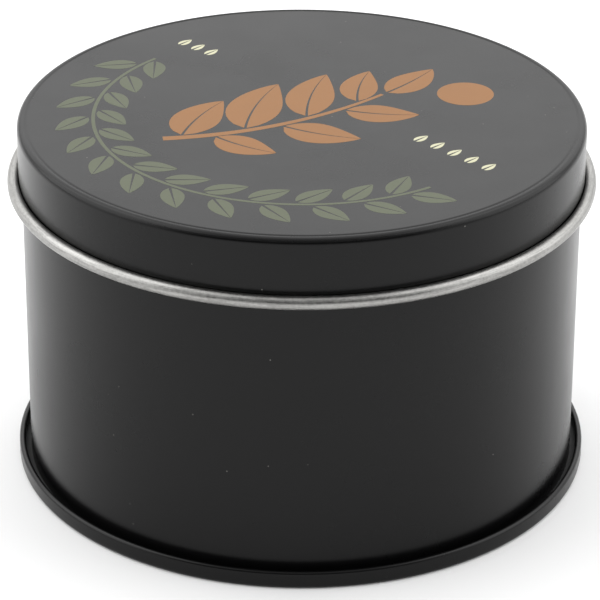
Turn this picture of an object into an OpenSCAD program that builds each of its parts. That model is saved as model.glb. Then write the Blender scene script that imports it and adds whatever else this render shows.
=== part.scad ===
// Slip-lid candle tin: a rolled tinplate body with a seamed-on base, a drawn lid
// that lifts straight off, and a poured candle with its wick inside.
// Millimetres, +Z up, origin on the axis at the face the tin stands on.

/* [Overall] */
// Outside diameter of the lid's skirt
lid_d = 77; // [50:0.5:100]
// Height of the closed tin
tin_h = 50.5; // [36:0.5:80]

/* [Sheet] */
// Thickness of the tinplate
sheet_t = 0.25; // [0.2:0.01:0.35]
// Gap between folded layers, and round whatever is crimped or poured
fold_gap = 0.06; // [0.02:0.01:0.1]

/* [Lid] */
// Height of the lid, from its panel to the bottom of its curl
lid_h = 9.4; // [7:0.1:14]
// Outer radius of the corner between panel and skirt
lid_corner_r = 0.9; // [0.6:0.1:2]
// Width of the pressed line round the lid's panel
crease_w = 0.6; // [0.4:0.05:1]
// Depth of the pressed line round the lid's panel
crease_depth = 0.08; // [0.04:0.01:0.12]
// Diameter of the curl along the lid's bottom edge
lid_curl_d = 1.8; // [1.2:0.1:2.4]
// Gap all round between the lid's skirt and the body wall
slip_gap = 0.15; // [0.1:0.01:0.4]
// Gap between the lid's panel and the rim it rests on
seat_gap = 0.1; // [0.05:0.01:0.3]

/* [Body] */
// Diameter of the curl round the body's mouth
rim_curl_d = 1.8; // [1.2:0.1:2.4]
// Width of the welded lap down the inside of the body
lap_w = 1; // [0.6:0.1:2]

/* [Base] */
// Height of the folded seam round the base
seam_h = 2.5; // [2.2:0.1:3.5]
// Width of the open groove between the seam and the wall
groove_w = 0.78; // [0.6:0.02:1.2]
// Radius of the seam's two bottom bends, along the middle of the sheet
seam_bend_r = 0.5; // [0.3:0.05:0.6]
// How far the base panel is set up above the face the tin stands on
base_recess = 3.2; // [2.8:0.1:5]
// Radius of the bend between the base panel and its rim, along the middle of the sheet
base_bend_r = 0.8; // [0.4:0.1:1.5]

/* [Candle] */
// Height of the empty space between the wax and the lid's panel
headspace = 12; // [8:0.5:20]
// How far the wax climbs where it wets the wall
meniscus_h = 0.5; // [0.2:0.1:1]
// Width of the ring where the wax climbs
meniscus_w = 1.6; // [1:0.1:3]
// Diameter of the braided wick
wick_d = 2.4; // [1.6:0.1:3.5]
// Length of wick standing above the wax
wick_trim = 6; // [4:0.5:7]
// Diameter of the wick's metal foot
foot_d = 20; // [12:0.5:24]
// Thickness of the foot's metal
foot_t = 0.3; // [0.25:0.05:0.5]
// Height of the crimped neck on the foot
neck_h = 6; // [3:0.5:9]
// Diameter of the adhesive disc under the foot
sticker_d = 18; // [10:0.5:20]
// Thickness of the adhesive disc
sticker_t = 0.6; // [0.4:0.1:1]

/* [Hidden] */
$fn = 180;
half_t = sheet_t / 2;

// Radii of the lid and the body wall
lid_r = lid_d / 2;
wall_ro = lid_r - sheet_t - slip_gap;
wall_ri = wall_ro - sheet_t;
wall_mid = wall_ro - half_t;

// Heights of the rim and the wax
rim_top = tin_h - sheet_t - crease_depth - seat_gap;
wax_top = tin_h - sheet_t - headspace;

// The lid's curl touches the skirt's inner face with its own outside
lid_curl_mid = lid_curl_d / 2 - half_t;
lid_curl_c = [lid_r - half_t + lid_curl_mid, tin_h - lid_h + lid_curl_d / 2];
lid_curl_sweep = 305;
crease_r = lid_r - lid_corner_r - crease_w / 2;

// The rim's curl turns inwards from the wall
rim_curl_mid = rim_curl_d / 2 - half_t;
rim_curl_c = [wall_mid - rim_curl_mid, rim_top - rim_curl_d / 2];
rim_curl_sweep = 300;

// Seam layers from the wall outwards: open groove, cover hook, body hook, outer wall
cover_hook = wall_ro + groove_w + half_t;
body_hook = cover_hook + sheet_t + fold_gap;
seam_wall = body_hook + sheet_t + fold_gap;
seam_top_r = (seam_wall - cover_hook) / 2;
seam_top_c = [cover_hook + seam_top_r, seam_h - half_t - seam_top_r];
hook_bend_r = (body_hook - wall_mid) / 2;
hook_bend_c = [wall_mid + hook_bend_r, sheet_t + fold_gap + half_t + hook_bend_r];
chuck_wall = wall_ri - fold_gap - half_t;

// Heights of the stack under the wick
panel_top = base_recess + sheet_t;
foot_z = panel_top + sticker_t;
neck_ri = wick_d / 2 + fold_gap;
neck_ro = neck_ri + foot_t;
wick_top = wax_top + wick_trim;

// Bottom and top of the welded lap inside the wall
lap_bottom = panel_top + fold_gap;
lap_top = rim_curl_c[1] - rim_curl_d / 2 - fold_gap;

// Points along an arc about c, from angle a0 to a1
function arc(c, r, a0, a1, n) = [
    for (i = [0 : n]) let (a = a0 + (a1 - a0) * i / n) c + r * [cos(a), sin(a)]
];

// Unit normal, to the left, of the step from a to b
function left(a, b) = [a[1] - b[1], b[0] - a[0]] / norm(b - a);

// Offset at point i of a path that keeps both faces of the sheet parallel to it
function miter(p, i) =
    let (n0 = left(p[max(i - 1, 0)], p[max(i, 1)]))
    let (n1 = left(p[min(i, len(p) - 2)], p[min(i + 1, len(p) - 1)]))
    (n0 + n1) / (1 + n0 * n1);

// One face of a sheet of thickness t that follows a path
function face(p, t) = [for (i = [0 : len(p) - 1]) p[i] + miter(p, i) * t / 2];
function reversed(p) = [for (i = [len(p) - 1 : -1 : 0]) p[i]];

// Sheet metal spun about Z along a path through the middle of the sheet
module spun_sheet(path) {
    rotate_extrude() polygon(concat(face(path, sheet_t), reversed(face(path, -sheet_t))));
}

// Depth of the pressed line at a share s of its width
function crease_at(s) = crease_depth * (1 - cos(360 * s)) / 2;

// Drawn lid: flat panel, rounded corner, skirt, and a curl rolled outwards at the bottom
module lid() {
    panel_z = tin_h - half_t;
    steps = 8;
    crease = [
        for (i = [0 : steps]) [crease_r + crease_w * (i / steps - 0.5), panel_z - crease_at(i / steps)]
    ];
    corner = arc([lid_r - lid_corner_r, tin_h - lid_corner_r], lid_corner_r - half_t, 90, 0, 8);
    curl = arc(lid_curl_c, lid_curl_mid, 180, 180 + lid_curl_sweep, 28);
    color([0.13, 0.13, 0.13]) spun_sheet(concat([[0, panel_z]], crease, [for (i = [1 : 8]) corner[i]], curl));
}

// Rolled body: hook at the bottom for the seam, wall, and a curl rolled inwards at the mouth
module body_wall() {
    hook = arc(hook_bend_c, hook_bend_r, 360, 180, 14);
    rim = arc(rim_curl_c, rim_curl_mid, 0, rim_curl_sweep, 28);
    color([0.13, 0.13, 0.13]) {
        spun_sheet(concat([[body_hook, seam_top_c[1]]], hook, rim));
        side_lap();
    }
}

// Welded lap down the inside of the wall, at the back, between the base and the rim's curl
module side_lap(grow = 0) {
    intersection() {
        difference() {
            translate([0, 0, lap_bottom - grow]) cylinder(r = wall_mid, h = lap_top - lap_bottom + 2 * grow);
            translate([0, 0, lap_bottom - 1])
                cylinder(r = wall_ri - sheet_t - grow, h = lap_top - lap_bottom + 2);
        }
        translate([-lap_w / 2 - grow, 0, 0]) cube([lap_w + 2 * grow, lid_r, tin_h]);
    }
}

// Base: recessed panel, rim inside the wall, flat foot ring, and a hook folded over the body's
module base() {
    panel_z = base_recess + half_t;
    shoulder = arc([chuck_wall - base_bend_r, panel_z - base_bend_r], base_bend_r, 90, 0, 8);
    inner_bend = arc([chuck_wall + seam_bend_r, half_t + seam_bend_r], seam_bend_r, 180, 270, 7);
    outer_bend = arc([seam_wall - seam_bend_r, half_t + seam_bend_r], seam_bend_r, 270, 360, 7);
    top = arc(seam_top_c, seam_top_r, 0, 180, 12);
    hook_end = [[cover_hook, hook_bend_c[1] + fold_gap]];
    color([0.12, 0.12, 0.12])
        spun_sheet(concat([[0, panel_z]], shoulder, inner_bend, outer_bend, top, hook_end));
}

// Bead of lining compound that fills the bottom of the body's hook
module seam_sealant() {
    bead = arc(hook_bend_c, hook_bend_r - half_t - fold_gap / 3, 180, 360, 14);
    color([0.55, 0.53, 0.48]) rotate_extrude() polygon(bead);
}

// Poured wax, cast round the wick, its foot and the adhesive disc, and wetting the wall
module wax() {
    r = wall_ri - fold_gap / 3;
    bottom = panel_top;
    climb = [for (i = [0 : 8]) [r - meniscus_w * (1 - i / 8), wax_top + meniscus_h * pow(i / 8, 2)]];
    color([0.94, 0.91, 0.83]) difference() {
        rotate_extrude() polygon(concat([[0, bottom], [r, bottom]], reversed(climb), [[0, wax_top]]));
        side_lap(grow = fold_gap / 3);
        translate([0, 0, bottom - 1])
            cylinder(r = foot_d / 2 + fold_gap / 3, h = foot_z + foot_t - bottom + 1);
        translate([0, 0, foot_z]) cylinder(r = neck_ro + fold_gap / 3, h = neck_h + fold_gap);
        translate([0, 0, foot_z]) cylinder(r = wick_d / 2 + fold_gap / 3, h = tin_h);
    }
}

// Braided cotton wick, from the underside of its foot to its trimmed end
module wick() {
    color([0.93, 0.91, 0.86]) translate([0, 0, foot_z]) cylinder(r = wick_d / 2, h = wick_top - foot_z);
}

// Metal foot: a thin disc with a neck crimped round the wick
module wick_sustainer() {
    color([0.72, 0.72, 0.7]) translate([0, 0, foot_z]) difference() {
        union() {
            cylinder(r = foot_d / 2, h = foot_t);
            cylinder(r = neck_ro, h = neck_h);
        }
        translate([0, 0, -1]) cylinder(r = neck_ri, h = neck_h + 2);
    }
}

// Adhesive foam disc that holds the foot to the base panel
module wick_sticker() {
    color([0.95, 0.95, 0.93]) translate([0, 0, panel_top]) cylinder(r = sticker_d / 2, h = sticker_t);
}

lid();
body_wall();
base();
seam_sealant();
wax();
wick();
wick_sustainer();
wick_sticker();
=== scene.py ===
import math

import bmesh
import bpy
from mathutils import Matrix, Vector, noise


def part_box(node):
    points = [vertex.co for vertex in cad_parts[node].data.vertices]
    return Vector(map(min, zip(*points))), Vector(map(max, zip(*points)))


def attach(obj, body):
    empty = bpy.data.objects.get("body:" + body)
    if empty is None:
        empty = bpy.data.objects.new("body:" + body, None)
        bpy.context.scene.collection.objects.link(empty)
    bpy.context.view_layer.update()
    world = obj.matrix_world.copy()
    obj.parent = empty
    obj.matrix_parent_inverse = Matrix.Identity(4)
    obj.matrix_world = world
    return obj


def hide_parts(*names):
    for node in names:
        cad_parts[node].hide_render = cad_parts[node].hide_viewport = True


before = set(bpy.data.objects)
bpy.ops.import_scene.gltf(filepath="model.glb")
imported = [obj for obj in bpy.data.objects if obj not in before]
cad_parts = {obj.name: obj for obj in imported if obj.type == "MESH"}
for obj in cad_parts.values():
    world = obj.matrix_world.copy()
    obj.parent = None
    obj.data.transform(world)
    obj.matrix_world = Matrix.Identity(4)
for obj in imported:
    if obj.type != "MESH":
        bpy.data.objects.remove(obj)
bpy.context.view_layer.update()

MM = 0.001

# ---------------------------------------------------------------------------
# Studio. A pale matt floor, one broad softbox behind and above the tin, one on
# each side, and two flags seen only in reflections: a dark one behind the camera
# that draws the line on the curl, and a grey one above it.

CAMERA_AT = Vector((0, -402.1, 228.7)) * MM
CAMERA_AIM = Vector((-0.17, 0, 22.35)) * MM
CAMERA_ROLL = math.radians(0.24)
CAMERA_LENS = 194.9
FLOOR_SIZE = 6.0
FLOOR_COLOUR = (0.8, 0.8, 0.8, 1)
FLAG_WIDTH = 2.2
FLAG_AIM = Vector((0, 0, 0.05))
FLAG_BLACK = (0.004, 0.004, 0.004, 1)
FLAG_GREY = (0.2, 0.2, 0.2, 1)
ROOM_LIGHT = 1.0


def aimed(place, target, roll=0.0):
    """Matrix of something that stands at place and looks along its -Z at target."""
    turn = (target - place).to_track_quat("-Z", "Y").to_matrix().to_4x4()
    return Matrix.Translation(place) @ turn @ Matrix.Rotation(roll, 4, "Z")


camera = bpy.data.objects.new("camera", bpy.data.cameras.new("camera"))
camera.data.lens = CAMERA_LENS
camera.data.sensor_width = 36
camera.data.clip_start = 0.01
camera.matrix_world = aimed(CAMERA_AT, CAMERA_AIM, CAMERA_ROLL)
bpy.context.scene.collection.objects.link(camera)
bpy.context.scene.camera = camera

world = bpy.data.worlds.new("room")
world.use_nodes = True
world.node_tree.nodes["Background"].inputs["Color"].default_value = (1, 1, 1, 1)
world.node_tree.nodes["Background"].inputs["Strength"].default_value = ROOM_LIGHT
bpy.context.scene.world = world
bpy.context.scene.view_settings.view_transform = "Standard"


def put(tree, kind, inputs=None, **settings):
    """Adds a node, sets its properties, and links or sets its inputs."""
    node = tree.nodes.new(kind)
    for name, value in settings.items():
        setattr(node, name, value)
    for key, value in (inputs or {}).items():
        if isinstance(value, bpy.types.NodeSocket):
            tree.links.new(value, node.inputs[key])
        else:
            node.inputs[key].default_value = value
    return node


def new_finish(name):
    """An empty material; returns it and its tree."""
    finish = bpy.data.materials.new(name)
    finish.use_nodes = True
    finish.node_tree.nodes.clear()
    return finish, finish.node_tree


def surfaced(tree, inputs):
    """Ends a finish with its shader and its output."""
    shader = put(tree, "ShaderNodeBsdfPrincipled", inputs)
    put(tree, "ShaderNodeOutputMaterial", {"Surface": shader.outputs[0]})


def card(name, width, height, place, target, colour, roughness):
    """A flat matt card, used for the floor and the flags."""
    mesh = bpy.data.meshes.new(name)
    corners = [(x * width / 2, y * height / 2, 0) for x, y in ((-1, -1), (1, -1), (1, 1), (-1, 1))]
    mesh.from_pydata(corners, [], [(0, 1, 2, 3)])
    mesh.transform(aimed(place, target) @ Matrix.Rotation(math.pi, 4, "X"))
    finish, tree = new_finish(name)
    surfaced(tree, {"Base Color": colour, "Roughness": roughness, "Specular IOR Level": 0.1})
    mesh.materials.append(finish)
    piece = bpy.data.objects.new(name, mesh)
    bpy.context.scene.collection.objects.link(piece)
    return piece


card("floor", FLOOR_SIZE, FLOOR_SIZE, Vector((0, 0, 0)), Vector((0, 0.0001, -1)), FLOOR_COLOUR, 0.9)
low_flag = card("low_flag", FLAG_WIDTH, 0.6, Vector((0, -0.93, 0.46)), FLAG_AIM, FLAG_BLACK, 1.0)
high_flag = card("high_flag", FLAG_WIDTH, 0.34, Vector((0, -0.54, 0.86)), FLAG_AIM, FLAG_GREY, 1.0)
for flag in (low_flag, high_flag):
    flag.visible_camera = False
    flag.visible_diffuse = False
    flag.visible_shadow = False


def softbox(name, place, width, height, glow, target=Vector((0, 0, 0.03))):
    """A rectangular area light; glow is its brightness, so its power follows from its size."""
    light = bpy.data.lights.new(name, "AREA")
    light.shape = "RECTANGLE"
    light.size = width
    light.size_y = height
    light.energy = glow * width * height * math.pi
    lamp = bpy.data.objects.new(name, light)
    lamp.matrix_world = aimed(place, target)
    lamp.visible_camera = False
    bpy.context.scene.collection.objects.link(lamp)


softbox("back_softbox", Vector((0, 0.82, 1.08)), 2.6, 1.7, 1.05)
softbox("left_softbox", Vector((-1.0, 0.1, 0.8)), 1.3, 1.4, 1.8)
softbox("right_softbox", Vector((1.0, 0.1, 0.8)), 1.1, 1.4, 1.6)

# ---------------------------------------------------------------------------
# Body wall. A strip of tinplate, black-coated outside and bare inside, rolled
# and welded down a lap, curled inwards at the mouth and hooked out at the foot.

SHEET = 0.25 * MM
FOLD_GAP = 0.06 * MM
SLIP_GAP = 0.15 * MM
RIM_CURL_D = 1.8 * MM
LID_CURL_D = 1.8 * MM
GROOVE_W = 0.78 * MM
SEAM_H = 2.5 * MM
LAP_W = 1.0 * MM
OUTER_LAP_RISE = 0.035 * MM
LATHE_STEPS = 288
LATHE_RADIUS = 10 * MM
COAT_IOR = 1.295
COAT_ROUGHNESS = 0.26
BLACK = (0.0022, 0.0022, 0.0023, 1)
DUST = (0.16, 0.155, 0.145, 1)
TIN_ROUGHNESS = 0.4
TIN_SHADE = 0.66
BARE_TIN = (0.37, 0.366, 0.354, 1)

lid_low, lid_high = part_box("lid")
wall_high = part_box("body_wall")[1]
base_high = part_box("base")[1]
half = SHEET / 2
tin_h = lid_high.z
lid_r = lid_high.x - LID_CURL_D + SHEET
wall_ro = lid_r - SHEET - SLIP_GAP
wall_ri = wall_ro - SHEET
wall_mid = wall_ro - half
cover_hook = wall_ro + GROOVE_W + half
body_hook = cover_hook + SHEET + FOLD_GAP
seam_wall = base_high.x - half
seam_top_r = (seam_wall - cover_hook) / 2
seam_top_c = (cover_hook + seam_top_r, SEAM_H - half - seam_top_r)
hook_r = (body_hook - wall_mid) / 2
hook_c = (wall_mid + hook_r, SHEET + FOLD_GAP + half + hook_r)


def arc(centre, radius, start, end, steps):
    """Points (r, z) along an arc; angles in degrees."""
    turns = [math.radians(start + (end - start) * i / steps) for i in range(steps + 1)]
    return [(centre[0] + radius * math.cos(a), centre[1] + radius * math.sin(a)) for a in turns]


def straight(a, b, hold=0.2 * MM):
    """A straight run with a point close to each end, so that the bends' shading stays in the bends."""
    step = (Vector(b) - Vector(a)).normalized() * hold
    return [tuple(a), tuple(Vector(a) + step), tuple(Vector(b) - step), tuple(b)]


def joined(*runs):
    """One path from several runs, with repeated points left out."""
    path = []
    for point in (Vector(p) for run in runs for p in run):
        if not path or (point - path[-1]).length > 1e-7:
            path.append(point)
    return path


def offset(path, distance):
    """The path moved to its left by distance, with mitred corners."""
    steps = [(b - a).normalized() for a, b in zip(path, path[1:])]
    normals = [Vector((-s.y, s.x)) for s in steps]
    moved = []
    for i, point in enumerate(path):
        before, after = normals[max(i - 1, 0)], normals[min(i, len(normals) - 1)]
        moved.append(point + (before + after) * distance / (1 + before.dot(after)))
    return moved


def sheet_section(path, coated_left):
    """Section of a sheet along a path: points (r, z, bare), and whether the section is a closed loop."""
    left = [(p.x, p.y, 0.0 if coated_left else 1.0) for p in offset(path, half)]
    right = [(p.x, p.y, 1.0 if coated_left else 0.0) for p in offset(path, -half)]
    return left + right[::-1], path[0].x > 1e-7


def new_tree(name, inputs, result):
    """An empty Geometry Nodes tree with its inputs, by name and kind; returns it and what it is given."""
    tree = bpy.data.node_groups.new(name, "GeometryNodeTree")
    for title, kind in inputs.items():
        tree.interface.new_socket(title, in_out="INPUT", socket_type="NodeSocket" + kind)
    tree.interface.new_socket(result, in_out="OUTPUT", socket_type="NodeSocketGeometry")
    return tree, tree.nodes.new("NodeGroupInput").outputs


def spinning_tree():
    """Geometry Nodes that spin a section about Z and give its two faces their finishes."""
    tree, given = new_tree("spun piece", {
        "Section": "Geometry", "Steps": "Int", "Path radius": "Float", "Crease angle": "Float",
        "Outside finish": "Material", "Bare finish": "Material"}, "Piece")
    inwards = put(tree, "ShaderNodeMath", {0: given["Path radius"], 1: -1.0}, operation="MULTIPLY")
    shift = put(tree, "ShaderNodeCombineXYZ", {"X": inwards.outputs[0]})
    section = put(tree, "GeometryNodeMeshToCurve", {0: given["Section"]})
    upright = put(tree, "GeometryNodeTransform", {
        "Geometry": section.outputs[0], "Translation": shift.outputs[0], "Rotation": (math.pi / 2, 0, 0)})
    ring = put(tree, "GeometryNodeCurvePrimitiveCircle", {
        "Resolution": given["Steps"], "Radius": given["Path radius"]})
    level = put(tree, "GeometryNodeSetCurveNormal", {"Curve": ring.outputs[0]}, mode="Z_UP")
    spun = put(tree, "GeometryNodeCurveToMesh", {
        "Curve": level.outputs[0], "Profile Curve": upright.outputs[0]})
    closed = put(tree, "GeometryNodeMergeByDistance", {"Geometry": spun.outputs[0], "Distance": 1e-6})
    smooth = put(tree, "GeometryNodeSetShadeSmooth", {
        "Geometry": closed.outputs[0], "Shade Smooth": True})
    angle = put(tree, "GeometryNodeInputMeshEdgeAngle")
    sharp = put(tree, "FunctionNodeCompare", {
        0: angle.outputs[0], 1: given["Crease angle"]}, operation="GREATER_THAN")
    creased = put(tree, "GeometryNodeSetShadeSmooth", {
        "Geometry": smooth.outputs[0], "Selection": sharp.outputs[0], "Shade Smooth": False}, domain="EDGE")
    bare = put(tree, "GeometryNodeInputNamedAttribute", {"Name": "bare"})
    is_bare = put(tree, "FunctionNodeCompare", {0: bare.outputs[0], 1: 0.4}, operation="GREATER_THAN")
    real = put(tree, "GeometryNodeRealizeInstances", {"Geometry": creased.outputs[0]})
    outside = put(tree, "GeometryNodeSetMaterial", {
        "Geometry": real.outputs[0], "Material": given["Outside finish"]})
    inside = put(tree, "GeometryNodeSetMaterial", {
        "Geometry": outside.outputs[0], "Selection": is_bare.outputs[0], "Material": given["Bare finish"]})
    put(tree, "NodeGroupOutput", {0: inside.outputs[0]})
    return tree


SPINNING = spinning_tree()


def evaluated(piece, tree, values):
    """Runs a Geometry Nodes tree on a piece and leaves the result as its plain mesh."""
    nodes = piece.modifiers.new(tree.name, "NODES")
    nodes.node_group = tree
    sockets = {s.name: s.identifier for s in tree.interface.items_tree if s.in_out == "INPUT"}
    for name, value in values.items():
        nodes[sockets[name]] = value
    ready = piece.evaluated_get(bpy.context.evaluated_depsgraph_get())
    mesh = bpy.data.meshes.new_from_object(ready)
    piece.modifiers.clear()
    piece.data = mesh
    mesh.name = piece.name
    facing = bmesh.new()
    facing.from_mesh(mesh)
    bmesh.ops.recalc_face_normals(facing, faces=facing.faces)
    facing.to_mesh(mesh)
    facing.free()
    return piece


def spun(name, section, closed, outside, bare, crease=35):
    """A piece turned from its section, in the frame's own place."""
    mesh = bpy.data.meshes.new(name)
    count = len(section)
    edges = [(i, (i + 1) % count) for i in range(count if closed else count - 1)]
    mesh.from_pydata([(r, 0, z) for r, z, _ in section], edges, [])
    mesh.attributes.new("bare", "FLOAT", "POINT").data.foreach_set("value", [b for _, _, b in section])
    piece = bpy.data.objects.new(name, mesh)
    bpy.context.scene.collection.objects.link(piece)
    return evaluated(piece, SPINNING, {
        "Steps": LATHE_STEPS, "Path radius": LATHE_RADIUS, "Crease angle": math.radians(crease),
        "Outside finish": outside, "Bare finish": bare})


def object_place(tree):
    return tree.nodes.new("ShaderNodeTexCoord").outputs["Object"]


def ranged(tree, value, low, high, new_low, new_high):
    """A value carried from one range to another, held at the ends."""
    return put(tree, "ShaderNodeMapRange", {
        "Value": value, "From Min": low, "From Max": high, "To Min": new_low, "To Max": new_high}).outputs[0]


def mixed(tree, share, first, second):
    """A colour between two, by share."""
    return put(tree, "ShaderNodeMix", {"Factor": share, 6: first, 7: second}, data_type="RGBA").outputs[2]


def bumped(tree, height, strength, distance):
    """Fine relief that follows a pattern."""
    relief = put(tree, "ShaderNodeBump", {"Height": height, "Strength": strength, "Distance": distance})
    return relief.outputs[0]


def shaded(colour, share):
    """A darker tone of a colour."""
    return tuple(c * share for c in colour[:3]) + (1,)


def coated_finish(name, colour, roughness):
    """Satin baked coating: faint orange peel, cloudy gloss, and a few specks of dust."""
    finish, tree = new_finish(name)
    place = object_place(tree)
    peel = put(tree, "ShaderNodeTexNoise", {"Vector": place, "Scale": 1500, "Detail": 3})
    cloud = put(tree, "ShaderNodeTexNoise", {"Vector": place, "Scale": 70, "Detail": 4, "Roughness": 0.6})
    specks = put(tree, "ShaderNodeTexVoronoi", {"Vector": place, "Scale": 300})
    dust = ranged(tree, specks.outputs["Distance"], 0.018, 0.03, 1, 0)
    gloss = ranged(tree, cloud.outputs[0], 0.3, 0.7, roughness - 0.03, roughness + 0.03)
    dull = put(tree, "ShaderNodeMath", {0: gloss, 1: dust}, operation="MAXIMUM")
    surfaced(tree, {
        "Base Color": mixed(tree, dust, colour, DUST), "Roughness": dull.outputs[0], "IOR": COAT_IOR,
        "Normal": bumped(tree, peel.outputs[0], 0.35, 0.004 * MM)})
    return finish


def bare_finish(name, colour, roughness):
    """Bright tinplate, with the fine grain of the roll and a few scratches running round the piece."""
    finish, tree = new_finish(name)
    spot = put(tree, "ShaderNodeSeparateXYZ", {0: object_place(tree)})
    flat = put(tree, "ShaderNodeCombineXYZ", {0: spot.outputs[0], 1: spot.outputs[1]})
    angle = put(tree, "ShaderNodeMath", {0: spot.outputs[1], 1: spot.outputs[0]}, operation="ARCTAN2")
    slow = put(tree, "ShaderNodeMath", {0: angle.outputs[0], 1: 0.002}, operation="MULTIPLY")
    reach = put(tree, "ShaderNodeVectorMath", {0: flat.outputs[0]}, operation="LENGTH")
    round_it = put(tree, "ShaderNodeCombineXYZ", {
        0: slow.outputs[0], 1: reach.outputs["Value"], 2: spot.outputs[2]})
    grain = put(tree, "ShaderNodeTexNoise", {"Vector": round_it.outputs[0], "Scale": 9000, "Detail": 4})
    scratch = put(tree, "ShaderNodeTexNoise", {"Vector": round_it.outputs[0], "Scale": 2600, "Detail": 2})
    smear = put(tree, "ShaderNodeTexNoise", {"Vector": object_place(tree), "Scale": 2600, "Detail": 4})
    both = put(tree, "ShaderNodeMath", {0: grain.outputs[0], 1: scratch.outputs[0]}, operation="ADD")
    worn = put(tree, "ShaderNodeMath", {0: both.outputs[0], 1: smear.outputs[0]}, operation="ADD")
    tone = ranged(tree, worn.outputs[0], 1.25, 1.7, 0.0, 1.0)
    surfaced(tree, {
        "Base Color": mixed(tree, tone, shaded(colour, TIN_SHADE), colour), "Metallic": 1.0,
        "Roughness": ranged(tree, smear.outputs[0], 0.3, 0.7, roughness - 0.05, roughness + 0.05),
        "Normal": bumped(tree, both.outputs[0], 0.5, 0.0025 * MM)})
    return finish


BLACK_COAT = coated_finish("black_coating", BLACK, COAT_ROUGHNESS)
BRIGHT_TIN = bare_finish("bare_tinplate", BARE_TIN, TIN_ROUGHNESS)

rim_top = wall_high.z
rim_mid = RIM_CURL_D / 2 - half
rim_c = (wall_mid - rim_mid, rim_top - RIM_CURL_D / 2)
hook = arc(hook_c, hook_r, 360, 180, 20)
rim = arc(rim_c, rim_mid, 0, 300, 44)
wall_path = joined([(body_hook, seam_top_c[1])], hook, straight(hook[-1], rim[0]), rim)
body_wall = spun("body_wall_rolled", *sheet_section(wall_path, coated_left=False), BLACK_COAT, BRIGHT_TIN)


def upright_strip(width, depth, radius, low, high, inside, finish):
    """A slim upright bar on the wall at the back, rounded across, on its inner or outer face."""
    bars = bmesh.new()
    rings = []
    for z in (low, high):
        ring = []
        for i in range(13):
            x = width * (i / 12 - 0.5)
            rise = depth * (1 - (2 * x / width) ** 4)
            seat = math.sqrt(radius ** 2 - x ** 2)
            ring.append(bars.verts.new((x, seat - rise if inside else seat + rise, z)))
        for x in (width / 2, -width / 2):
            seat = math.sqrt(radius ** 2 - x ** 2)
            ring.append(bars.verts.new((x, seat + half / 2 if inside else seat - half / 2, z)))
        rings.append(ring)
    count = len(rings[0])
    for i in range(count):
        j = (i + 1) % count
        bars.faces.new((rings[0][i], rings[0][j], rings[1][j], rings[1][i]))
    bars.faces.new(rings[0])
    bars.faces.new(rings[1][::-1])
    bmesh.ops.recalc_face_normals(bars, faces=bars.faces)
    mesh = bpy.data.meshes.new("strip")
    bars.to_mesh(mesh)
    bars.free()
    mesh.materials.append(finish)
    strip = bpy.data.objects.new("strip", mesh)
    bpy.context.scene.collection.objects.link(strip)
    return strip


def merged(piece, others):
    """Joins loose bits into one piece."""
    with bpy.context.temp_override(active_object=piece, selected_editable_objects=[piece] + others,
                                   selected_objects=[piece] + others):
        bpy.ops.object.join()
    return piece


lap_bottom = base_high.z + FOLD_GAP
lap_top = rim_c[1] - RIM_CURL_D / 2 - FOLD_GAP
inner_lap = upright_strip(LAP_W, SHEET, wall_ri, lap_bottom, lap_top, True, BRIGHT_TIN)
outer_lap = upright_strip(LAP_W, OUTER_LAP_RISE, wall_ro, SEAM_H * 0.6, rim_c[1], False, BLACK_COAT)
merged(body_wall, [inner_lap, outer_lap])
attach(body_wall, "tin")
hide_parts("body_wall")

# ---------------------------------------------------------------------------
# Base. A pressed disc of the same sheet, black underneath and bare inside, set
# up inside the wall and folded over the body's hook into the seam it stands on.

BASE_BEND_R = 0.8 * MM
SEAM_BEND_R = 0.5 * MM

panel_mid = base_high.z - half
chuck_wall = wall_ri - FOLD_GAP - half
shoulder = arc((chuck_wall - BASE_BEND_R, panel_mid - BASE_BEND_R), BASE_BEND_R, 90, 0, 12)
inner_bend = arc((chuck_wall + SEAM_BEND_R, half + SEAM_BEND_R), SEAM_BEND_R, 180, 270, 12)
outer_bend = arc((seam_wall - SEAM_BEND_R, half + SEAM_BEND_R), SEAM_BEND_R, 270, 360, 12)
seam_top = arc(seam_top_c, seam_top_r, 0, 180, 20)
base_path = joined(
    straight((0, panel_mid), shoulder[0]), shoulder, straight(shoulder[-1], inner_bend[0]), inner_bend,
    outer_bend, straight(outer_bend[-1], seam_top[0]), seam_top, [(cover_hook, hook_c[1] + FOLD_GAP)])
base = spun("base_seamed", *sheet_section(base_path, coated_left=False), BLACK_COAT, BRIGHT_TIN)
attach(base, "tin")
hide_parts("base")

# ---------------------------------------------------------------------------
# Seam compound. A rubbery bead flowed into the body's hook and cured; it stays
# hidden under the fold and keeps melted wax in.

COMPOUND_DARK = (0.008, 0.008, 0.009, 1)
COMPOUND_GREY = (0.02, 0.02, 0.02, 1)

compound, tree = new_finish("lining_compound")
lumps = put(tree, "ShaderNodeTexNoise", {"Vector": object_place(tree), "Scale": 900, "Detail": 4})
surfaced(tree, {
    "Base Color": mixed(tree, lumps.outputs[0], COMPOUND_DARK, COMPOUND_GREY), "Roughness": 0.7,
    "Normal": bumped(tree, lumps.outputs[0], 0.6, 0.02 * MM)})


def finish_node(node, finish):
    """Gives a CAD node that stays on show its finish."""
    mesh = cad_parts[node].data
    mesh.materials.clear()
    mesh.materials.append(finish)


finish_node("seam_sealant", compound)

# ---------------------------------------------------------------------------
# Wick foot and its adhesive disc. The foot is a thin stamped disc with a neck
# crimped round the wick; a disc of white foam tape holds it to the base.

FOAM_GREY = (0.74, 0.74, 0.71, 1)
FOAM_WHITE = (0.88, 0.88, 0.86, 1)

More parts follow.
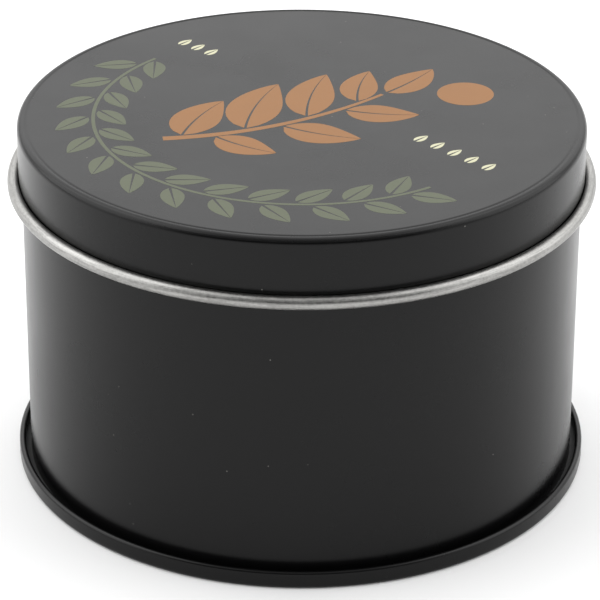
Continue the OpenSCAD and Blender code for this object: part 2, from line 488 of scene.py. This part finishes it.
foot_metal = bare_finish("foot_metal", (0.7, 0.7, 0.68, 1), 0.32)
foam, tree = new_finish("adhesive_foam")
cells = put(tree, "ShaderNodeTexVoronoi", {"Vector": object_place(tree), "Scale": 6000})
surfaced(tree, {
    "Base Color": mixed(tree, cells.outputs["Distance"], FOAM_GREY, FOAM_WHITE), "Roughness": 0.85,
    "Normal": bumped(tree, cells.outputs["Distance"], 0.5, 0.03 * MM)})
finish_node("wick_sustainer", foot_metal)
finish_node("wick_sticker", foam)

# ---------------------------------------------------------------------------
# Wick. Eight cotton strands braided over and under round a straight core, dipped
# in wax and trimmed above the candle.

STRAND_R = 0.34 * MM
BRAID_R = 0.7 * MM
BRAID_WAVE = 0.15 * MM
CORE_R = 0.5 * MM
BRAID_PITCH = 6.4 * MM
STRANDS_EACH_WAY = 4
POINTS_PER_TURN = 28
COTTON_DARK = (0.72, 0.66, 0.52, 1)
COTTON_PALE = (0.86, 0.83, 0.74, 1)

wick_low, wick_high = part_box("wick")
wick_h = wick_high.z - wick_low.z


def maths_in(tree):
    """A short way to write a tree's arithmetic."""
    def maths(kind, a, b=0.0, c=0.0):
        return put(tree, "ShaderNodeMath", {0: a, 1: b, 2: c}, operation=kind).outputs[0]
    return maths


def braid_tree():
    """Geometry Nodes that braid strands of both hands round a core and give them one finish."""
    tree, given = new_tree("braid", {
        "Geometry": "Geometry", "Height": "Float", "Pitch": "Float", "Braid radius": "Float",
        "Wave": "Float", "Strand radius": "Float", "Core radius": "Float", "Strands each way": "Int",
        "Points": "Int", "Finish": "Material"}, "Wick")
    maths = maths_in(tree)
    index = tree.nodes.new("GeometryNodeInputIndex").outputs[0]
    share = maths("DIVIDE", index, maths("SUBTRACT", given["Points"], 1.0))
    height = maths("MULTIPLY", share, given["Height"])
    turn = maths("MULTIPLY", maths("DIVIDE", height, given["Pitch"]), 2 * math.pi)
    over = maths("COSINE", maths("MULTIPLY", turn, given["Strands each way"]))
    wave = maths("MULTIPLY", over, given["Wave"])
    each = maths("DIVIDE", 2 * math.pi, given["Strands each way"])
    ring = put(tree, "GeometryNodeCurvePrimitiveCircle", {
        "Resolution": 10, "Radius": given["Strand radius"]})
    whole = tree.nodes.new("GeometryNodeJoinGeometry")
    for hand in (1.0, -1.0):
        line = put(tree, "GeometryNodeMeshLine", {"Count": given["Points"]})
        curve = put(tree, "GeometryNodeMeshToCurve", {0: line.outputs[0]})
        reach = maths("MULTIPLY_ADD", wave, hand, given["Braid radius"])
        angle = maths("MULTIPLY", turn, hand)
        x = maths("MULTIPLY", reach, maths("COSINE", angle))
        y = maths("MULTIPLY", reach, maths("SINE", angle))
        place = put(tree, "ShaderNodeCombineXYZ", {"X": x, "Y": y, "Z": height})
        bent = put(tree, "GeometryNodeSetPosition", {
            "Geometry": curve.outputs[0], "Position": place.outputs[0]})
        starts = put(tree, "GeometryNodePoints", {"Count": given["Strands each way"]})
        round_it = put(tree, "ShaderNodeCombineXYZ", {"Z": maths("MULTIPLY", index, each)})
        copies = put(tree, "GeometryNodeInstanceOnPoints", {
            "Points": starts.outputs[0], "Instance": bent.outputs[0], "Rotation": round_it.outputs[0]})
        strands = put(tree, "GeometryNodeRealizeInstances", {"Geometry": copies.outputs[0]})
        tubes = put(tree, "GeometryNodeCurveToMesh", {
            "Curve": strands.outputs[0], "Profile Curve": ring.outputs[0], "Fill Caps": True})
        tree.links.new(tubes.outputs[0], whole.inputs[0])
    core = put(tree, "GeometryNodeMeshCylinder", {
        "Vertices": 16, "Radius": given["Core radius"], "Depth": given["Height"]})
    lift = put(tree, "ShaderNodeCombineXYZ", {"Z": maths("MULTIPLY", given["Height"], 0.5)})
    raised = put(tree, "GeometryNodeTransform", {
        "Geometry": core.outputs[0], "Translation": lift.outputs[0]})
    tree.links.new(raised.outputs[0], whole.inputs[0])
    smooth = put(tree, "GeometryNodeSetShadeSmooth", {"Geometry": whole.outputs[0], "Shade Smooth": True})
    real = put(tree, "GeometryNodeRealizeInstances", {"Geometry": smooth.outputs[0]})
    done = put(tree, "GeometryNodeSetMaterial", {"Geometry": real.outputs[0], "Material": given["Finish"]})
    put(tree, "NodeGroupOutput", {0: done.outputs[0]})
    return tree


cotton, tree = new_finish("waxed_cotton")
place = object_place(tree)
fibre = put(tree, "ShaderNodeTexNoise", {"Vector": place, "Scale": 9000, "Detail": 5, "Distortion": 1.5})
stain = put(tree, "ShaderNodeTexNoise", {"Vector": place, "Scale": 700, "Detail": 3})
surfaced(tree, {
    "Base Color": mixed(tree, stain.outputs[0], COTTON_DARK, COTTON_PALE), "Roughness": 0.62,
    "Sheen Weight": 0.3, "Normal": bumped(tree, fibre.outputs[0], 0.8, 0.05 * MM)})
wick = bpy.data.objects.new("wick_braided", bpy.data.meshes.new("wick_braided"))
bpy.context.scene.collection.objects.link(wick)
evaluated(wick, braid_tree(), {
    "Height": wick_h, "Pitch": BRAID_PITCH, "Braid radius": BRAID_R, "Wave": BRAID_WAVE,
    "Strand radius": STRAND_R, "Core radius": CORE_R, "Strands each way": STRANDS_EACH_WAY,
    "Points": round(wick_h / BRAID_PITCH * POINTS_PER_TURN), "Finish": cotton})
wick.data.transform(Matrix.Translation((0, 0, wick_low.z)))
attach(wick, "tin")
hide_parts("wick")

# ---------------------------------------------------------------------------
# Wax. Poured hot to a level below the mouth: it wets the wall and the wick, and
# sets with a faintly uneven top.

MENISCUS_W = 1.6 * MM
MENISCUS_H = 0.5 * MM
WICK_CLIMB = 0.35 * MM
WAX_FIT = FOLD_GAP / 3
WAX_SWELL = 0.06 * MM
TOP_RINGS = 40
WICK_R = 1.2 * MM
FOOT_T = 0.3 * MM
WAX_DARK = (0.8, 0.71, 0.54, 1)
WAX_PALE = (0.88, 0.82, 0.7, 1)

wax_low, wax_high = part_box("wax")
foot_low, foot_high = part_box("wick_sustainer")
neck_r = WICK_R + FOLD_GAP + FOOT_T
wax_r = wall_ri - WAX_FIT
wax_level = wax_high.z - MENISCUS_H
wick_hole = wick_high.x + WAX_FIT


def wax_height(r):
    """Height of the wax at radius r: it climbs the wall, and a little up the wick."""
    wall_climb = max(0.0, 1 - (wax_r - r) / MENISCUS_W)
    wick_climb = max(0.0, 1 - (r - wick_hole) / MENISCUS_W)
    return wax_level + MENISCUS_H * wall_climb ** 2 + WICK_CLIMB * wick_climb ** 2


rings = [wick_hole + (wax_r - wick_hole) * i / TOP_RINGS for i in range(TOP_RINGS + 1)]
climbs = [wick_hole + MENISCUS_W * i / 6 for i in range(6)]
climbs += [wax_r - MENISCUS_W * i / 8 for i in range(8)]
rings = sorted(set(rings + climbs))
cavity = [(foot_high.x + WAX_FIT, wax_low.z), (foot_high.x + WAX_FIT, foot_low.z + FOOT_T),
          (neck_r + WAX_FIT, foot_low.z + FOOT_T), (neck_r + WAX_FIT, foot_high.z + FOLD_GAP),
          (wick_hole, foot_high.z + FOLD_GAP)]
wax_section = [(r, wax_height(r), 0.0) for r in rings]
wax_section += [(wax_r, wax_level - 2 * MM, 0.0), (wax_r, wax_low.z, 0.0)]
wax_section += [(r, z, 0.0) for r, z in cavity]

candle_wax, tree = new_finish("candle_wax")
place = object_place(tree)
mottle = put(tree, "ShaderNodeTexNoise", {"Vector": place, "Scale": 120, "Detail": 6, "Roughness": 0.65})
frost = put(tree, "ShaderNodeTexNoise", {"Vector": place, "Scale": 1100, "Detail": 4})
surfaced(tree, {
    "Base Color": mixed(tree, mottle.outputs[0], WAX_DARK, WAX_PALE),
    "Roughness": ranged(tree, mottle.outputs[0], 0.3, 0.7, 0.36, 0.52), "IOR": 1.44,
    "Subsurface Weight": 0.5, "Subsurface Radius": (1.0, 0.7, 0.4), "Subsurface Scale": 3 * MM,
    "Normal": bumped(tree, frost.outputs[0], 0.4, 0.03 * MM)})
wax = spun("wax_poured", wax_section, True, candle_wax, candle_wax, crease=50)
for vertex in wax.data.vertices:
    spot = vertex.co
    edge = min(1.0, max(0.0, (wax_r - math.hypot(spot.x, spot.y)) / (3 * MM)))
    if spot.z > wax_level - 1 * MM:
        spot.z += WAX_SWELL * edge * (noise.noise(spot * 90) + 0.4 * noise.noise(spot * 400))
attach(wax, "tin")
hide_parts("wax")

# ---------------------------------------------------------------------------
# Lid. One disc drawn into a shallow cap, coated black outside, with a line
# pressed round its panel and its raw edge rolled out into a bare bright curl.

LID_CORNER_R = 0.9 * MM
CREASE_W = 0.6 * MM
CREASE_DEPTH = 0.08 * MM

panel_z = tin_h - half
crease_r = lid_r - LID_CORNER_R - CREASE_W / 2
crease = []
for i in range(17):
    share = i / 16
    dip = CREASE_DEPTH * (1 - math.cos(2 * math.pi * share)) / 2
    crease.append((crease_r + CREASE_W * (share - 0.5), panel_z - dip))
curl_mid = LID_CURL_D / 2 - half
curl_c = (lid_r - half + curl_mid, lid_low.z + LID_CURL_D / 2)
corner = arc((lid_r - LID_CORNER_R, tin_h - LID_CORNER_R), LID_CORNER_R - half, 90, 0, 18)
curl = arc(curl_c, curl_mid, 180, 485, 56)
lid_path = joined(straight((0, panel_z), crease[0]), crease, corner, straight(corner[-1], curl[0]), curl)
lid = spun("lid_drawn", *sheet_section(lid_path, coated_left=True), BLACK_COAT, BRIGHT_TIN)
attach(lid, "lid")
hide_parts("lid")

# ---------------------------------------------------------------------------
# Print on the lid. Thin films of ink: a copper sprig with one berry, a sage
# garland round the left and front, and two short rows of pale seeds.

INK = 0.008 * MM
INK_SUNK = 0.004 * MM
LEAF_POINTS = 14
VEIN_GAP = 0.32 * MM


def ink_finish(name, colour, roughness=0.42):
    """Screen ink on the coating, with a trace of mesh in its thickness."""
    finish, tree = new_finish(name)
    place = object_place(tree)
    screen = put(tree, "ShaderNodeTexNoise", {"Vector": place, "Scale": 4000, "Detail": 2})
    cloud = put(tree, "ShaderNodeTexNoise", {"Vector": place, "Scale": 180, "Detail": 3})
    surfaced(tree, {
        "Base Color": mixed(tree, cloud.outputs[0], shaded(colour, 0.9), colour), "Roughness": roughness,
        "IOR": 1.4, "Normal": bumped(tree, screen.outputs[0], 0.3, 0.004 * MM)})
    return finish


def half_leaves(root, heading, length, width, bend=0.0):
    """Outlines of a leaf's two halves, either side of an unprinted vein; the leaf curves by bend."""
    spine, across = [], []
    spot = Vector(root)
    for i in range(LEAF_POINTS + 1):
        turn = heading + bend * i / LEAF_POINTS
        across.append(Vector((-math.sin(turn), math.cos(turn))))
        spine.append(spot.copy())
        spot += Vector((math.cos(turn), math.sin(turn))) * length / LEAF_POINTS
    halves = []
    for side in (1, -1):
        outer, inner = [], []
        for i, (point, normal) in enumerate(zip(spine, across)):
            share = i / LEAF_POINTS
            swell = math.sin(math.pi * share ** 0.8) ** 0.85 if 0 < i < LEAF_POINTS else 0
            vein = VEIN_GAP / 2 * (1 - share) + 0.02 * MM
            inner.append(point + normal * side * vein)
            outer.append(point + normal * side * (vein + width / 2 * swell))
        halves.append(outer + inner[-2:0:-1])
    return halves


def tapered_stroke(points, widths):
    """Outline of a stroke along points, with its own width at each."""
    left, right = [], []
    for i, point in enumerate(points):
        along = (points[min(i + 1, len(points) - 1)] - points[max(i - 1, 0)]).normalized()
        normal = Vector((-along.y, along.x)) * widths[i] / 2
        left.append(point + normal)
        right.append(point - normal)
    return left + right[::-1]


def disc(centre, radius, points=64):
    return [Vector(centre) + radius * Vector((math.cos(a), math.sin(a)))
            for a in (2 * math.pi * i / points for i in range(points))]


def film_mesh(name, outlines, base_z):
    """Thin flat solids, one for each outline, standing on base_z."""
    films = bmesh.new()
    for outline in outlines:
        low = [films.verts.new((p.x, p.y, base_z - INK_SUNK)) for p in outline]
        high = [films.verts.new((p.x, p.y, base_z + INK)) for p in outline]
        films.faces.new(low)
        films.faces.new(high)
        for i in range(len(outline)):
            j = (i + 1) % len(outline)
            films.faces.new((low[i], low[j], high[j], high[i]))
    bmesh.ops.recalc_face_normals(films, faces=films.faces)
    bmesh.ops.triangulate(films, faces=[f for f in films.faces if len(f.verts) > 4])
    mesh = bpy.data.meshes.new(name)
    films.to_mesh(mesh)
    films.free()
    return mesh


def printed(name, mesh, finish=None):
    piece = bpy.data.objects.new(name, mesh)
    bpy.context.scene.collection.objects.link(piece)
    if finish:
        mesh.materials.append(finish)
        settle(piece)
    return piece


def settle(piece):
    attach(piece, "lid")


COPPER = ink_finish("copper_ink", (0.21, 0.08, 0.007, 1))
SAGE = ink_finish("sage_ink", (0.056, 0.066, 0.031, 1))
PALE = ink_finish("pale_ink", (0.46, 0.45, 0.3, 1))

STEM = [Vector(p) * MM for p in ((-18.5, -8.0), (-2.0, -6.0), (11.0, 7.0))]
STEM_STEPS = 30
STAND_OFF = 0.95 * MM
TIP_LENGTH = 10.5 * MM
TIP_WIDTH = 5.2 * MM
BERRY_AT = (22.4 * MM, 7.3 * MM)
BERRY_R = 3.9 * MM
SPRIG = [(0.07, 66, 12.5, 6.4), (0.34, 64, 15.5, 7.2), (0.62, 58, 14.5, 6.4), (0.87, 50, 10.5, 5.0),
         (0.20, -58, 9.5, 5.2), (0.49, -58, 11.0, 6.0), (0.78, -56, 10.0, 5.4)]


def on_stem(t):
    """Point and heading on the stem at share t of its run."""
    a, b, c = STEM
    point = a * (1 - t) ** 2 + b * 2 * t * (1 - t) + c * t ** 2
    along = (b - a) * (1 - t) + (c - b) * t
    return point, math.atan2(along.y, along.x)


stem_points = [on_stem(i / STEM_STEPS)[0] for i in range(STEM_STEPS + 1)]
stem_widths = [(1.25 - 0.7 * i / STEM_STEPS) * MM for i in range(STEM_STEPS + 1)]
sprig = [tapered_stroke(stem_points, stem_widths)]
for share, splay, length, width in SPRIG:
    point, heading = on_stem(share)
    side = math.copysign(1, splay)
    heading += math.radians(splay)
    root = point + Vector((math.cos(heading), math.sin(heading))) * STAND_OFF
    sprig += half_leaves(root, heading, length * MM, width * MM, bend=-side * 0.4)
tip, heading = on_stem(1.0)
tip += Vector((math.cos(heading), math.sin(heading))) * STAND_OFF
sprig += half_leaves(tip, heading, TIP_LENGTH, TIP_WIDTH, bend=0.25)
sprig.append(disc(BERRY_AT, BERRY_R))
printed("lid_print_sprig", film_mesh("lid_print_sprig", sprig, tin_h), COPPER)

GARLAND_R = 28.2 * MM
GARLAND_START = math.radians(137)
GARLAND_SWEEP = math.radians(169)
GARLAND_SPLAY = math.radians(43)
GARLAND_STAGGER = 0.35
GARLAND_PAIRS = 13
VINE_W = 0.5 * MM
VINE_STEPS = 90


def garland_tree():
    """Geometry Nodes that set a leaf in pairs along an arc, splayed in and out."""
    tree, given = new_tree("garland", {
        "Leaf": "Geometry", "Radius": "Float", "Start": "Float", "Sweep": "Float", "Splay": "Float",
        "Stagger": "Float", "Pairs": "Int", "Finish": "Material"}, "Garland")
    maths = maths_in(tree)
    index = tree.nodes.new("GeometryNodeInputIndex").outputs[0]
    step = maths("DIVIDE", given["Sweep"], given["Pairs"])
    whole = tree.nodes.new("GeometryNodeJoinGeometry")
    for hand in (1.0, -1.0):
        late = maths("MULTIPLY", given["Stagger"], 0.5 - 0.5 * hand)
        angle = maths("MULTIPLY_ADD", maths("ADD", index, late), step, given["Start"])
        x = maths("MULTIPLY", given["Radius"], maths("COSINE", angle))
        y = maths("MULTIPLY", given["Radius"], maths("SINE", angle))
        place = put(tree, "ShaderNodeCombineXYZ", {"X": x, "Y": y})
        points = put(tree, "GeometryNodePoints", {"Count": given["Pairs"], "Position": place.outputs[0]})
        heading = maths("MULTIPLY_ADD", given["Splay"], hand, maths("ADD", angle, math.pi / 2))
        turn = put(tree, "ShaderNodeCombineXYZ", {"Z": heading})
        leaves = put(tree, "GeometryNodeInstanceOnPoints", {
            "Points": points.outputs[0], "Instance": given["Leaf"], "Rotation": turn.outputs[0]})
        tree.links.new(leaves.outputs[0], whole.inputs[0])
    real = put(tree, "GeometryNodeRealizeInstances", {"Geometry": whole.outputs[0]})
    done = put(tree, "GeometryNodeSetMaterial", {"Geometry": real.outputs[0], "Material": given["Finish"]})
    put(tree, "NodeGroupOutput", {0: done.outputs[0]})
    return tree


garland_leaf = film_mesh("garland_leaf", half_leaves((1.1 * MM, 0), 0, 6.0 * MM, 2.9 * MM), tin_h)
garland = printed("lid_print_garland", garland_leaf)
evaluated(garland, garland_tree(), {
    "Radius": GARLAND_R, "Start": GARLAND_START, "Sweep": GARLAND_SWEEP, "Splay": GARLAND_SPLAY,
    "Stagger": GARLAND_STAGGER, "Pairs": GARLAND_PAIRS, "Finish": SAGE})
vine_angles = [GARLAND_START + GARLAND_SWEEP * i / VINE_STEPS for i in range(VINE_STEPS + 1)]
vine_points = [Vector((math.cos(a), math.sin(a))) * GARLAND_R for a in vine_angles]
vine_outline = tapered_stroke(vine_points, [VINE_W] * len(vine_points))
vine = printed("vine", film_mesh("vine", [vine_outline], tin_h))
vine.data.materials.append(SAGE)
merged(garland, [vine])
settle(garland)

SEED_ROWS = (((-16.6, 25.2), -43, 3, 2.6), ((15.9, -7.6), -46, 5, 3.1))
SEED_LENGTH = 2.5 * MM
SEED_WIDTH = 1.15 * MM

seeds = []
for start, along, count, gap in SEED_ROWS:
    direction = Vector((math.cos(math.radians(along)), math.sin(math.radians(along))))
    across = math.radians(along + 90)
    for i in range(count):
        middle = (Vector(start) + direction * gap * i) * MM
        root = middle - Vector((math.cos(across), math.sin(across))) * SEED_LENGTH / 2
        seeds += half_leaves(root, across, SEED_LENGTH, SEED_WIDTH)
printed("lid_print_seeds", film_mesh("lid_print_seeds", seeds, tin_h), PALE)
